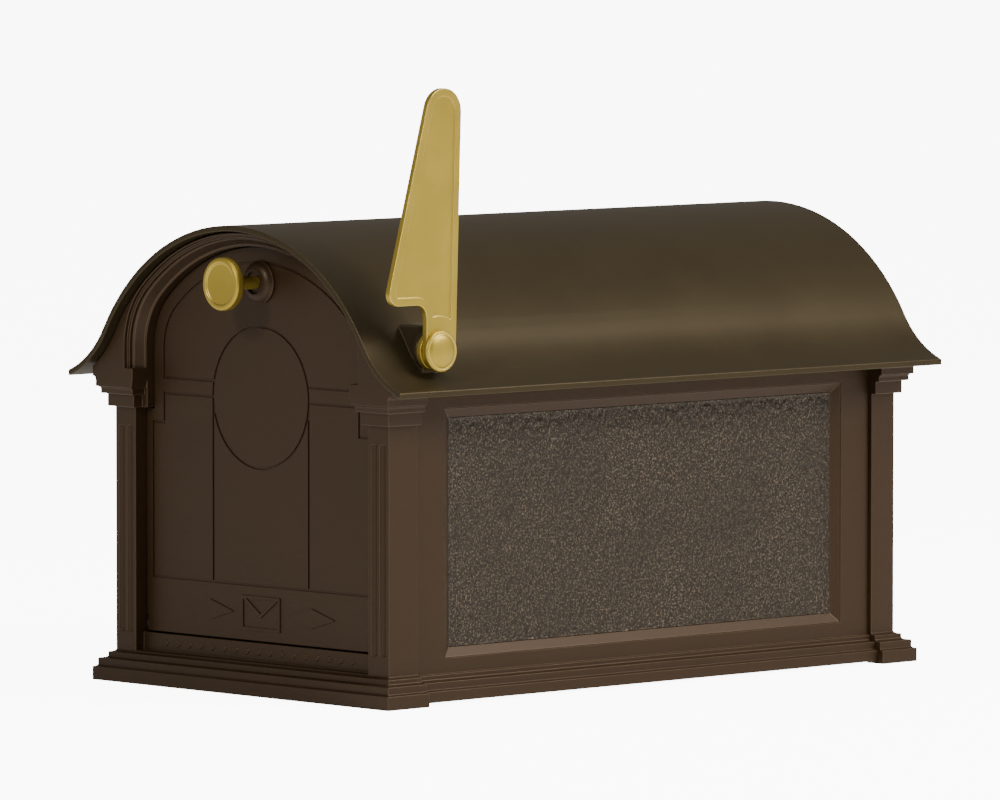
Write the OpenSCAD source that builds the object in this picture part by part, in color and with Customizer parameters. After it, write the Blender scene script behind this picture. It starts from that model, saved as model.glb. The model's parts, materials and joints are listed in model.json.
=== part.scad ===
// Curbside mailbox with a temple-front casting, barrel roof, drop-down door and signal flag.
// Millimetres. X runs across the box (flag on +X), the door faces -Y, Z is up.
// The origin is the middle of the post bolt pattern, on the plane that the box stands on.

/* [Box] */
// Length over the front and rear plinths
body_l = 517.5; // [460:1:620]
// Width over the plinths
body_w = 306; // [270:1:360]
// Wall thickness of the castings
wall = 4; // [3:0.5:5]
// Depth of the front frame, plinth face to joint
front_d = 39; // [38:0.5:60]
// Depth of the rear frame, plinth face to joint
rear_d = 35; // [34:0.5:60]
// Step from the pilaster's side face back to the side wall
wall_step = 3; // [1:0.5:5]

/* [Roof] */
// Outside radius of the barrel
roof_r = 156.5; // [150:0.5:175]
// Height of the barrel's centre line
roof_cz = 168.7; // [160:0.5:260]
// Half-angle of the barrel, where the flare begins
roof_a = 59.4; // [54:0.1:62]
// Radius of the flare
flare_r = 71.3; // [60:0.5:90]
// Half-width over the eaves
eave_x = 171.5; // [165:0.5:200]
// Overhang past the front and rear plinths
roof_over = 5.5; // [2:0.5:20]

/* [Plinth and capitals] */
// Plinth projection past the pilasters
plinth_p = 12; // [10:0.5:20]
// Height of the plinth's lowest band
plinth_h = 9.6; // [6:0.1:11]
// Top of the plinth mouldings
plinth_top = 22; // [20:0.5:26]
// Underside of the capital necks
neck_z = 193; // [150:0.5:200]
// Projection of the capital's top band
cap_p = 10; // [8:0.5:11]
// Width of a pilaster
pilaster_w = 21; // [19:0.5:26]
// Radius of the flutes
flute_r = 3.4; // [2.5:0.1:3.8]
// Depth of the flutes
flute_d = 1.9; // [1:0.1:2.5]
// Spacing of the two flutes
flute_pitch = 8.6; // [8:0.1:10]

/* [Door] */
// Half-width of the doorway between the capitals
arch_x = 112; // [100:0.5:114]
// Radius of the doorway's shoulders
shoulder_r = 50; // [40:0.5:60]
// Gap between roof surface and the doorway's crown
crown_gap = 15; // [14:0.5:24]
// Depth from the plinth face to the door's face
door_y = 22; // [20:0.5:24]
// Door panel thickness
door_t = 3.6; // [3:0.1:5]
// Clearance round the door
door_gap = 1; // [0.8:0.1:2]
// Top of the door sill
sill_z = 34.8; // [30:0.2:50]
// Radius of the hinge barrel
barrel_r = 5; // [4.8:0.1:6]
// Radius of the hinge pins
pin_r = 2.45; // [2:0.05:2.6]
// Width of the scored lines
score_w = 1.8; // [1:0.1:2.5]
// Depth of the scored lines
score_d = 1; // [0.5:0.1:1.5]
// Radius of the door's medallion
medal_r = 49.2; // [40:0.2:52]
// Height of the medallion's centre
medal_z = 205; // [150:0.5:210]
// Height of the knob
knob_z = 285.2; // [240:0.2:287]
// Radius of the knob
knob_r = 18.4; // [14:0.1:22]
// Knob's reach in front of the door
knob_reach = 38; // [30:0.5:50]

/* [Side plaque] */
// Margin from each joint to the plaque
plaque_margin = 35.2; // [25:0.1:60]
// Bottom of the plaque
plaque_z0 = 37.8; // [36:0.1:60]
// Top of the plaque
plaque_z1 = 195.6; // [140:0.1:197]
// Depth of the plaque's face below the wall
plaque_d = 4.4; // [3:0.1:5]
// Width of the bevelled rim
rim_w = 7; // [4:0.1:8]
// Plaque thickness
plaque_t = 2; // [1.5:0.1:3]

/* [Flag] */
// Distance from the front plinth face to the pivot
flag_y = 40.2; // [38:0.2:80]
// Height of the pivot
flag_z = 244; // [242:0.5:250]
// Height of the blade's top arc above the pivot
flag_h = 163; // [130:1:190]
// Radius of the top of the blade
flag_top_r = 16; // [12:0.1:18]
// Radius of the hub
hub_r = 14; // [12:0.1:15]
// Thickness of the blade
blade_t = 4.4; // [3:0.1:6]
// Width of the flag's base
flag_base = 45.6; // [40:0.2:60]
// Outer face of the roof's flag boss
boss_x = 152; // [150:0.5:154]
// Running clearance of the pivots
run_gap = 0.05; // [0.02:0.01:0.1]

/* [Post fixing] */
// Bolt spacing across the box
post_dx = 101.6; // [80:0.1:150]
// Bolt spacing along the box
post_dy = 254; // [180:0.1:320]
// Radius of the bolt holes
post_r = 3.5; // [2.5:0.1:5]
// Thickness of the floor plate
floor_t = 4; // [3:0.1:6]

/* [Hidden] */
$fn = 96;
EPS = 0.01;
FAR = 400;

bronze = [0.24, 0.19, 0.15];
roof_tone = [0.28, 0.26, 0.19];
gold = [0.74, 0.65, 0.36];
steel = [0.62, 0.63, 0.65];
black = [0.08, 0.08, 0.08];
nylon = [0.12, 0.12, 0.12];

y_front = -body_l / 2;
y_rear = body_l / 2;
shaft_x = body_w / 2 - plinth_p;
jamb_x = shaft_x - pilaster_w;
wall_x = shaft_x - wall_step;
wall_in = wall_x - wall;
joint_front = y_front + front_d;
joint_rear = y_rear - rear_d;
wall_mid_y = (joint_front + joint_rear) / 2;
seat_gap = 0.2;

// Roof arcs: the flare's centre, on the ray through the end of the barrel
flare_cx = (roof_r + flare_r) * sin(roof_a);
flare_cz = roof_cz + (roof_r + flare_r) * cos(roof_a);

// Doorway: crown arc, shoulder arcs and jambs are tangent
crown_r = roof_r - crown_gap;
shoulder_x = arch_x - shoulder_r;
shoulder_z = roof_cz + sqrt(pow(crown_r - shoulder_r, 2) - pow(shoulder_x, 2));

// Capital levels
fillet_z = neck_z + 9;
band_z = neck_z + 13.8;
cyma_z = neck_z + 18;
cap_top = neck_z + 21;
reveal_z = neck_z + 28;

// Depths inside the frames, from the plinth face inwards
shaft_y = plinth_p;
lip_t = 3;
lip_w = 6;
lip_y = door_y + door_t + 1.7;
lip_back = lip_y + lip_t;
sill_y = door_y - 2.5;
sill_step = 1.4;
foot_drop = barrel_r - 0.2;
shelf_y = lip_back + 3.7;

// Door catch: strike plate at the crown, bracket screwed above the lip
strike_z = roof_cz + crown_r - 11;
strike_t = 1.2;
rivet_head = 0.2;
magnet_gap = 0.3;
magnet_y = door_y + door_t + strike_t + rivet_head + magnet_gap;
bracket_t = 1.6;
small_r = 1.5;
magnet_screw_x = [-9, 9];
rivet_x = [-8, 8];
rivet_r = 1.2;
magnet_screw_z = roof_cz + crown_r + 2.6;

hinge_y = door_y + barrel_r;
hinge_z = sill_z + door_gap + barrel_r;
bush_r = pin_r + run_gap + 1;
bush_len = 10;
thrust_t = 1.6;
thrust_gap = 0.4;
barrel_x = jamb_x - thrust_gap - thrust_t;

plaque_y0 = joint_front + plaque_margin;
plaque_y1 = joint_rear - plaque_margin;
plaque_x = wall_x - plaque_d;
pocket_t = 3;

floor_top = min(sill_z - 0.8, plaque_z0 - pocket_t - seat_gap);
screw_r = 2;
thread_gap = 0.05;

pivot_y = y_front + flag_y;
spacer_t = 4;
washer_t = 0.5;
spacer_x = boss_x + washer_t + 0.1;
blade_x = spacer_x + spacer_t;
cap_x = blade_x + blade_t + 0.2;
shoulder_bolt_r = 4.5;
flag_bush_r = 6.5;
hub_shift = 1.8;
boss_in_x = 124;
boss_half_y = 6.5;
boss_top = flag_z + 16.5;
boss_pad_r = 13;
boss_pad_t = 4;
boss_seat_r = 9;
bolt_tail = 7.5;

lid_screws_y = [wall_mid_y - 170, wall_mid_y, wall_mid_y + 170];
frame_screws_y = [joint_front - 5, joint_rear + 3.2];
frame_screws_z = [plinth_top + 36, neck_z - 33];
plaque_screws_y = [plaque_y0 + 20, plaque_y1 - 20];
plaque_screws_z = [plaque_z0 + 20, plaque_z1 - 20];
post_x = [-post_dx / 2, post_dx / 2];
post_y = [-post_dy / 2, post_dy / 2];
bumper_z = 150;
stem_r = 3;
rosette_t = 4.6;
lug_x0 = wall_in - 12;
lug_x1 = wall_in - wall;
lug_z = roof_cz + 60;

// ---------- Helpers ----------

// Extrudes an XZ outline from y0 to y1
module along_y(y0, y1) {
  translate([0, y1, 0]) rotate([90, 0, 0]) linear_extrude(y1 - y0) children();
}

// Extrudes a YZ outline from x0 to x1
module along_x(x0, x1) {
  translate([x0, 0, 0]) rotate([90, 0, 90]) linear_extrude(x1 - x0) children();
}

// A box between two corners
module block(a, b) { translate(a) cube(b - a); }

// A rod along X
module rod_x(x0, x1, y, z, r) {
  translate([x0, y, z]) rotate([0, 90, 0]) cylinder(h = x1 - x0, r = r);
}

// A rod along Y
module rod_y(y0, y1, x, z, r) {
  translate([x, y1, z]) rotate([90, 0, 0]) cylinder(h = y1 - y0, r = r);
}

// The same shape at +X and -X
module both_sides() {
  children();
  mirror([1, 0, 0]) children();
}

// Hollow moulding from profile point a up to b: the surface leaves a level
function cove_in(a, b) = [for (t = [0 : 15 : 90])
  [b[0] + (a[0] - b[0]) * (1 - sin(t)), a[1] + (b[1] - a[1]) * (1 - cos(t))]];
// Hollow moulding from a up to b: the surface arrives at b level
function cove_out(a, b) = [for (t = [0 : 15 : 90])
  [a[0] + (b[0] - a[0]) * (1 - cos(t)), a[1] + (b[1] - a[1]) * sin(t)]];
// Points of an arc, from angle a0 to a1
function arc(c, r, a0, a1, n = 12) = [for (i = [0 : n])
  let (t = a0 + (a1 - a0) * i / n) [c[0] + r * cos(t), c[1] + r * sin(t)]];
function flip(list) = [for (i = [len(list) - 1 : -1 : 0]) list[i]];

// Plinth mouldings: projection past the pilaster, height
plinth_mid = plinth_p * 0.77;
plinth_low = plinth_p * 0.34;
plinth_profile = concat(
  [[plinth_p, 0]],
  cove_in([plinth_p, plinth_h], [plinth_mid, plinth_h + 1.6]),
  cove_in([plinth_mid, plinth_h + 6], [plinth_low, plinth_h + 7.6]),
  cove_in([plinth_low, plinth_h + 10.4], [0, plinth_top])
);

// Capital mouldings: projection past the pilaster, height
cap_neck = cap_p * 0.4;
cap_fillet = cap_p * 0.74;
capital_low = concat(
  [[0, neck_z], [cap_neck, neck_z], [cap_neck, fillet_z], [cap_fillet, fillet_z]],
  cove_out([cap_fillet, band_z - 2], [cap_p - 0.8, band_z]),
  [[cap_p, band_z]]
);
capital_side = concat(capital_low, cove_out([cap_p, cyma_z], [cap_p + 3, cap_top]));
capital_front = concat(capital_low, [[cap_p, cap_top]]);

// ---------- Outlines ----------

// Everything between the ground and the roof's outer surface sunk by t
module under_roof(t) {
  reach = FAR * sin(roof_a);
  intersection() {
    translate([0, roof_cz]) circle(r = roof_r - t, $fn = 180);
    polygon([[0, roof_cz], [-reach, roof_cz + FAR * cos(roof_a)],
      [reach, roof_cz + FAR * cos(roof_a)]]);
  }
  ray_z = roof_cz + eave_x / tan(roof_a);
  for (s = [-1, 1]) difference() {
    polygon([[0, 0], [0, roof_cz], [s * eave_x, ray_z], [s * eave_x, 0]]);
    translate([s * flare_cx, flare_cz]) circle(r = flare_r + t, $fn = 180);
  }
}

// Section through the roof casting: barrel and two flares
module roof_section() {
  ray_z = roof_cz + eave_x / tan(roof_a);
  reach = FAR * sin(roof_a);
  intersection() {
    translate([0, roof_cz]) difference() {
      circle(r = roof_r, $fn = 180);
      circle(r = roof_r - wall, $fn = 180);
    }
    polygon([[0, roof_cz], [-reach, roof_cz + FAR * cos(roof_a)],
      [reach, roof_cz + FAR * cos(roof_a)]]);
  }
  for (s = [-1, 1]) intersection() {
    translate([s * flare_cx, flare_cz]) difference() {
      circle(r = flare_r + wall, $fn = 180);
      circle(r = flare_r, $fn = 180);
    }
    polygon([[0, 0], [0, roof_cz], [s * eave_x, ray_z], [s * eave_x, 0]]);
  }
}

// Doorway outline, inset by g, from z_low up
module doorway(g, z_low) {
  intersection() {
    translate([0, roof_cz]) circle(r = crown_r - g, $fn = 180);
    polygon([[0, roof_cz], [-shoulder_x * 3, roof_cz + (shoulder_z - roof_cz) * 3],
      [shoulder_x * 3, roof_cz + (shoulder_z - roof_cz) * 3]]);
  }
  for (s = [-1, 1]) translate([s * shoulder_x, shoulder_z]) circle(r = shoulder_r - g);
  translate([g - arch_x, z_low]) square([2 * (arch_x - g), shoulder_z - z_low]);
  translate([g - jamb_x, z_low]) square([2 * (jamb_x - g), neck_z - g - z_low]);
}

// Splayed recess round the arch: steps = [how much wider, depth]
module arch_reveal(steps) {
  last = len(steps) - 1;
  y_in = steps[last][1];
  y_out = steps[0][1];
  intersection() {
    translate([0, 0, roof_cz]) rotate([-90, 0, 0]) rotate_extrude($fn = 180)
      polygon(concat([[0, y_in], [0, y_out]], [for (s = steps) [crown_r + s[0], s[1]]]));
    along_y(y_out, y_in) polygon([[0, roof_cz],
      [-shoulder_x * 4, roof_cz + (shoulder_z - roof_cz) * 4],
      [shoulder_x * 4, roof_cz + (shoulder_z - roof_cz) * 4]]);
  }
  both_sides() intersection() {
    translate([shoulder_x, 0, shoulder_z]) rotate([-90, 0, 0]) rotate_extrude()
      polygon(concat([[0, y_in], [0, y_out]], [for (s = steps) [shoulder_r + s[0], s[1]]]));
    block([0, y_out, shoulder_z], [FAR, y_in, FAR]);
  }
  translate([0, 0, reveal_z]) linear_extrude(shoulder_z - reveal_z)
    polygon(concat([for (s = steps) [arch_x + s[0], s[1]]],
      flip([for (s = steps) [-arch_x - s[0], s[1]]])));
}

// ---------- Frame castings ----------
// Both frames are drawn with their plinth face at y = 0 and the box towards +Y.

// Plinth moulding mitred round the front and both sides
module plinth_ring(depth) {
  side = [for (q = plinth_profile) [shaft_x + q[0], q[1]]];
  intersection() {
    along_y(0, depth) polygon(concat(side, flip([for (q = side) [-q[0], q[1]]])));
    along_x(-FAR, FAR) polygon(concat([for (q = plinth_profile) [shaft_y - q[0], q[1]]],
      [[depth, plinth_top], [depth, 0]]));
  }
}

// Capital mitred round the front, outer side and inner side of a pilaster
module capital(depth) {
  inner = [for (q = capital_low) [jamb_x - min(q[0] * 0.7, jamb_x - arch_x), q[1]]];
  intersection() {
    along_y(0, depth) polygon(concat([for (q = capital_side) [shaft_x + q[0], q[1]]],
      [[arch_x, cap_top]], flip(inner)));
    along_x(0, FAR) polygon(concat([for (q = capital_front) [shaft_y - q[0], q[1]]],
      [[depth, cap_top], [depth, neck_z]]));
  }
}

// Fluted pilaster shaft
module pilaster(depth) {
  mid = (jamb_x + shaft_x) / 2;
  difference() {
    block([jamb_x, shaft_y, 0], [shaft_x, depth, neck_z + EPS]);
    for (s = [-0.5, 0.5])
      translate([mid + s * flute_pitch, shaft_y - flute_r + flute_d, plinth_top + 13])
        cylinder(h = neck_z - plinth_top - 26, r = flute_r);
  }
}

// The whole frame, with its doorway cut by the children
module frame_casting(depth) {
  difference() {
    union() {
      plinth_ring(depth);
      block([-jamb_x - EPS, sill_y, 0], [jamb_x + EPS, shelf_y, sill_z]);
      both_sides() pilaster(depth);
      both_sides() capital(depth);
      // jamb cheeks behind the capitals, which narrow the doorway
      both_sides() block([arch_x, door_y - 6, neck_z], [jamb_x + EPS, lip_back, reveal_z + EPS]);
      along_y(shaft_y - cap_p, depth) intersection() {
        under_roof(wall + 1);
        translate([-shaft_x - cap_p - 3, cap_top - EPS]) square([2 * (shaft_x + cap_p + 3), FAR]);
      }
    }
    // room inside, behind the lip
    along_y(lip_back, depth + 1) intersection() {
      under_roof(2 * wall + 1);
      translate([-shaft_x + wall, sill_z]) square([2 * (shaft_x - wall), FAR]);
    }
    // hollow pilasters
    both_sides() block([jamb_x + wall, shaft_y + wall, plinth_top + 2],
      [shaft_x - wall, depth + 1, neck_z - 5]);
    // hollow plinth, open below and behind
    block([-shaft_x + wall, plinth_p - 2, -1], [shaft_x - wall, depth + 1, plinth_h + 6]);
    block([-jamb_x, sill_y + wall, -1], [jamb_x, depth + 1, sill_z - wall]);
    block([-shaft_x + wall, shelf_y, -1], [shaft_x - wall, depth + 1, plinth_top + 3]);
    children();
  }
}

// Raised pearls that fill the sill band
module sill_pearls() {
  for (i = [-8 : 8]) rod_y(sill_y - 0.8, sill_y + 1, i * 12, (plinth_top + sill_z) / 2, 2.2);
}

module front_frame_local() {
  frame_casting(front_d) {
    along_y(-1, lip_y) doorway(0, sill_z);
    along_y(lip_y - 1, front_d + 1) doorway(lip_w, sill_z);
    // step behind the sill's front edge, in which the door's foot turns
    block([-jamb_x, door_y - 0.1, sill_z - sill_step], [jamb_x, lip_back + 0.7, sill_z + 1]);
    // the lip stops above the hinge
    block([-jamb_x, lip_y - 1, sill_z], [jamb_x, lip_back + 1, hinge_z + 14]);
    arch_reveal([[8.5, -1], [8.5, 5], [6.2, 5], [6.2, 8], [5, 8.6], [1.5, 15], [0, 15], [0, 18]]);
    both_sides() rod_x(jamb_x - 1, jamb_x + wall + 1, hinge_y, hinge_z, pin_r + thread_gap);
    both_sides() for (z = frame_screws_z)
      rod_x(shaft_x - wall - 1, shaft_x - 1, frame_screws_y[0] - y_front, z, screw_r + thread_gap);
    for (x = magnet_screw_x)
      rod_y(lip_back - 7, lip_back + 1, x, magnet_screw_z, small_r + thread_gap);
    both_sides() rod_y(lip_y - 1, lip_back + 1, jamb_x - lip_w / 2, bumper_z, 1.25 + thread_gap);
  }
  sill_pearls();
}

module front_frame() {
  color(bronze) difference() {
    translate([0, y_front, 0]) front_frame_local();
    boss_room();
  }
}

// Places of the screws that hold the rear panel: x, z
panel_screws = [[-1, 70], [1, 70], [-1, 160], [1, 160]];

module rear_frame() {
  color(bronze) translate([0, y_rear, 0]) mirror([0, 1, 0]) frame_casting(rear_d) {
    along_y(-1, lip_y - 2) doorway(0, sill_z);
    along_y(lip_y - 3, rear_d + 1) doorway(lip_w, sill_z + lip_w);
    arch_reveal([[8.5, -1], [8.5, 5], [6.2, 5], [6.2, 8], [5, 8.6], [1.5, 15], [0, 15], [0, 18]]);
    both_sides() for (z = frame_screws_z)
      rod_x(shaft_x - wall - 1, shaft_x - 1, y_rear - frame_screws_y[1], z, screw_r + thread_gap);
    for (q = panel_screws)
      rod_y(lip_back - 4, lip_back + 1, q[0] * (jamb_x - 1), q[1], small_r + thread_gap);
  }
}

module rear_panel() {
  y_out = y_rear - lip_back;
  color(bronze) difference() {
    union() {
      along_y(y_out - 2, y_out) doorway(-wall + 0.5, sill_z + 0.5);
      along_y(y_out - 2, y_out + 3) doorway(lip_w + 0.5, sill_z + lip_w + 0.5);
      along_y(y_out - 2, y_out + 5) doorway(lip_w + 22, sill_z + lip_w + 22);
    }
    along_y(y_out - 3, y_out + 2) doorway(lip_w + 26, sill_z + lip_w + 26);
    for (q = panel_screws)
      rod_y(y_out - 3, y_out + 1, q[0] * (jamb_x - 1), q[1], small_r + seat_gap);
  }
}

// ---------- Side walls and plaques ----------

// Tapered block whose outline is w wider at its mouth, for the plaque's bevel
module bevel_pocket(x_in, x_out, w) {
  yz = [plaque_y0, plaque_y1, plaque_z0, plaque_z1];
  intersection() {
    translate([0, 0, -EPS]) linear_extrude(FAR) polygon([
      [x_in, yz[0]], [x_out, yz[0] - w], [x_out, yz[1] + w], [x_in, yz[1]]]);
    along_y(-FAR, FAR) polygon([
      [x_in, yz[2]], [x_out, yz[2] - w], [x_out, yz[3] + w], [x_in, yz[3]]]);
  }
}

module side_wall_local() {
  step = wall_step + 2;
  base = concat([[wall_in, 2], [shaft_x + plinth_p - step, 2]],
    [for (q = plinth_profile) if (q[1] > 2) [max(wall_x, shaft_x + q[0] - step), q[1]]],
    [[wall_x, plinth_top + 3], [wall_in, plinth_top + 3]]);
  difference() {
    union() {
      // wall up to the roof's underside
      along_y(joint_front, joint_rear) intersection() {
        under_roof(wall + seat_gap);
        translate([wall_in, plinth_top]) square([wall, FAR]);
      }
      along_y(joint_front, joint_rear) polygon(base);
      // back of the plaque pocket
      block([plaque_x - plaque_t - pocket_t, plaque_y0 - pocket_t, plaque_z0 - pocket_t],
        [wall_in + 1, plaque_y1 + pocket_t, plaque_z1 + pocket_t]);
      // tongues that lap inside the frames
      for (y = [[joint_front - 9.5, joint_front + 6], [joint_rear - 6, joint_rear + 5.5]])
        block([wall_in - 1, y[0], plinth_top + 20], [wall_x - 1 - seat_gap, y[1], neck_z - 20]);
      // pads for the roof screws
      for (y = lid_screws_y)
        block([lug_x1 + 0.1, y - 8, lug_z - 8], [wall_in + 1, y + 8, lug_z + 7]);
    }
    bevel_pocket(plaque_x, wall_x - 0.8, rim_w - 0.5);
    block([wall_x - 0.8, plaque_y0 - rim_w, plaque_z0 - rim_w],
      [wall_x + 1, plaque_y1 + rim_w, plaque_z1 + rim_w]);
    block([plaque_x - plaque_t, plaque_y0, plaque_z0], [wall_x, plaque_y1, plaque_z1]);
    for (y = lid_screws_y)
      rod_x(lug_x1 - 1, wall_x - 1.4, y, lug_z, screw_r + thread_gap);
    for (y = lid_screws_y)
      rod_x(wall_in - 1, wall_x + 2, y, plinth_h, screw_r + thread_gap);
    for (y = plaque_screws_y) for (z = plaque_screws_z)
      rod_x(wall_in - 12, wall_x - plaque_d - 1, y, z, small_r + seat_gap);
    for (z = frame_screws_z) for (y = frame_screws_y)
      rod_x(wall_in - 2, wall_x, y, z, screw_r + seat_gap);
  }
}

// Room that the walls leave for the flag boss, its nut and the bolt's tail
module boss_room() {
  r = boss_seat_r + 1;
  block([boss_in_x - bolt_tail - 1, pivot_y - r, flag_z - r], [FAR, pivot_y + r, flag_z + 3 * r]);
}

module side_wall_right() {
  color(bronze) difference() {
    side_wall_local();
    boss_room();
  }
}
module side_wall_left() { color(bronze) mirror([1, 0, 0]) side_wall_local(); }

// Cast insert with a hammered face
module plaque_local() {
  fit = 0.2;
  difference() {
    block([plaque_x - plaque_t, plaque_y0 + fit, plaque_z0 + fit],
      [plaque_x, plaque_y1 - fit, plaque_z1 - fit]);
    for (y = plaque_screws_y) for (z = plaque_screws_z)
      rod_x(plaque_x - plaque_t - 1, plaque_x - 0.6, y, z, small_r + thread_gap);
  }
}

module plaque_right() { color(bronze) plaque_local(); }
module plaque_left() { color(bronze) mirror([1, 0, 0]) plaque_local(); }

// ---------- Roof ----------

module roof_lug(y) {
  difference() {
    along_y(y - 8, y + 8) intersection() {
      under_roof(wall / 2);
      translate([lug_x0, lug_z - 8]) square([lug_x1 - lug_x0, FAR]);
    }
    rod_x(lug_x0 - 1, lug_x1 + 1, y, lug_z, screw_r + thread_gap);
  }
}

module roof_shell() {
  color(roof_tone) difference() {
    union() {
      along_y(y_front - roof_over, y_rear + roof_over) roof_section();
      both_sides() for (y = lid_screws_y) roof_lug(y);
      // flag boss: an outer wedge with a round pad, and a flat seat for the nut inside
      along_y(pivot_y - boss_half_y, pivot_y + boss_half_y) difference() {
        translate([boss_in_x, flag_z - 30]) square([boss_x - boss_in_x, boss_top - flag_z + 30]);
        under_roof(wall / 2);
      }
      rod_x(boss_x - boss_pad_t, boss_x, pivot_y, flag_z, boss_pad_r);
      along_y(pivot_y - boss_seat_r, pivot_y + boss_seat_r) intersection() {
        translate([boss_in_x, flag_z - boss_seat_r]) square([boss_x - boss_in_x, 2 * boss_seat_r]);
        under_roof(wall / 2);
      }
    }
    rod_x(boss_in_x - 1, boss_x + 1, pivot_y, flag_z, 3 + thread_gap);
    rod_x(boss_x - 6, boss_x + 1, pivot_y, flag_z, shoulder_bolt_r + thread_gap);
  }
}

// ---------- Floor ----------

module floor_plate() {
  edge = wall_in - seat_gap;
  y0 = y_front + shelf_y + seat_gap;
  y1 = y_rear - shelf_y - seat_gap;
  wy0 = joint_front + seat_gap;
  wy1 = joint_rear - seat_gap;
  color(bronze) difference() {
    union() {
      block([-edge, wy0, floor_top - floor_t], [edge, wy1, floor_top]);
      block([-jamb_x, y0, floor_top - floor_t], [jamb_x, y1, floor_top]);
      both_sides() block([edge - 3, wy0, 5], [edge, wy1, floor_top]);
      for (x = post_x) for (y = post_y) translate([x, y, 0])
        cylinder(h = floor_top - 1, r = post_r + 5);
      // ribs that keep the mail off the floor
      for (x = [-100 : 25 : 100])
        block([x - 1.5, y0 + 10, floor_top - 1], [x + 1.5, y1 - 10, floor_top + 1.5]);
    }
    for (x = post_x) for (y = post_y) translate([x, y, -1])
      cylinder(h = floor_top + 4, r = post_r);
    for (x = [-87.5, 87.5]) for (y = [-180, 180]) translate([x, y, 0])
      cylinder(h = floor_top + 1, r = 3);
    both_sides() for (y = lid_screws_y)
      rod_x(edge - 4, edge + 1, y, plinth_h, screw_r + seat_gap);
  }
}

// ---------- Screws ----------

// Pan-head screw along +X: under-head plane at x, shank length l
module screw_x(x, y, z, r, l) {
  rod_x(x, x + l, y, z, r);
  difference() {
    translate([x, y, z]) rotate([0, -90, 0]) rotate_extrude()
      polygon(concat([[0, 0], [r * 2, 0]], arc([r * 0.9, r * 0.15], r * 1.1, 0, 90, 6), [[0, r * 1.25]]));
    block([x - r * 1.5, y - r * 0.2, z - r * 1.2], [x - r * 0.7, y + r * 0.2, z + r * 1.2]);
    block([x - r * 1.5, y - r * 1.2, z - r * 0.2], [x - r * 0.7, y + r * 1.2, z + r * 0.2]);
  }
}

// Pan-head screw along +Y (dir = 1) or -Y (dir = -1)
module screw_y(x, y, z, r, l, dir) {
  translate([x, y, z]) rotate([0, 0, dir * 90]) screw_x(0, 0, 0, r, l);
}

module floor_screws() {
  head_x = wall_in - seat_gap - 3;
  color(steel) both_sides() for (y = lid_screws_y)
    screw_x(head_x, y, plinth_h, screw_r, 8);
}

module plaque_screws() {
  head_x = plaque_x - plaque_t - pocket_t;
  color(steel) both_sides()
    for (y = plaque_screws_y) for (z = plaque_screws_z)
      screw_x(head_x, y, z, small_r, pocket_t + plaque_t - 0.8);
}

module frame_screws() {
  color(steel) both_sides() for (z = frame_screws_z)
    for (y = frame_screws_y)
      screw_x(wall_in - 1, y, z, screw_r, wall + wall_step);
}

module rear_panel_screws() {
  y_in = y_rear - lip_back - 2;
  color(steel) for (q = panel_screws) screw_y(q[0] * (jamb_x - 1), y_in, q[1], small_r, 5.5, 1);
}

module roof_screws() {
  color(steel) both_sides() for (y = lid_screws_y)
    screw_x(lug_x0, y, lug_z, screw_r, lug_x1 - lug_x0 + wall + 2.4);
}

// ---------- Door ----------

// Scored lines of the door's panels
module score_lines() {
  w = score_w / 2;
  frame_in = 11.5;
  rail = [medal_z - 1.5, medal_z + 9.5];
  foot = 74.5;
  knee = medal_z - 22;
  wide = arch_x;
  slim = arch_x - frame_in;
  difference() {
    union() {
      // arched top panel, closed by the upper rail line
      intersection() {
        difference() {
          doorway(frame_in - w, 0);
          doorway(frame_in + w, -1);
        }
        translate([-arch_x, rail[1] - w]) square([2 * arch_x, FAR]);
      }
      for (z = rail) translate([-slim - w, z - w]) square([2 * (slim + w), score_w]);
      for (s = [-1, 1]) {
        translate([s * slim - w, knee - w]) square([score_w, rail[0] - knee + w]);
        translate([min(s * slim, s * wide) - w, knee - w]) square([wide - slim + score_w, score_w]);
        translate([s * wide - w, foot - w]) square([score_w, knee - foot + w]);
        translate([s * medal_r - w, foot - w]) square([score_w, medal_z - foot]);
      }
      translate([-wide - w, foot - w]) square([2 * (wide + w), score_w]);
    }
    translate([0, medal_z]) circle(r = medal_r - w, $fn = 128);
  }
  translate([0, medal_z]) difference() {
    circle(r = medal_r + w, $fn = 128);
    circle(r = medal_r - w, $fn = 128);
  }
}

// Plain raised relief on the door's foot: an envelope between two lozenges
module foot_relief() {
  z = 55;
  w = 20;
  h = 12;
  difference() {
    translate([-w, z - h]) square([2 * w, 2 * h]);
    translate([-w + 2, z - h + 2]) square([2 * w - 4, 2 * h - 4]);
  }
  polygon([[-w + 1, z + h - 1], [0, z - 3], [w - 1, z + h - 1],
    [w - 3.5, z + h - 1], [0, z - 0.4], [-w + 3.5, z + h - 1]]);
  for (s = [-1, 1]) translate([s * 52, z]) {
    polygon([[-24, 0], [0, 7], [24, 0], [0, -7]]);
  }
}

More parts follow.
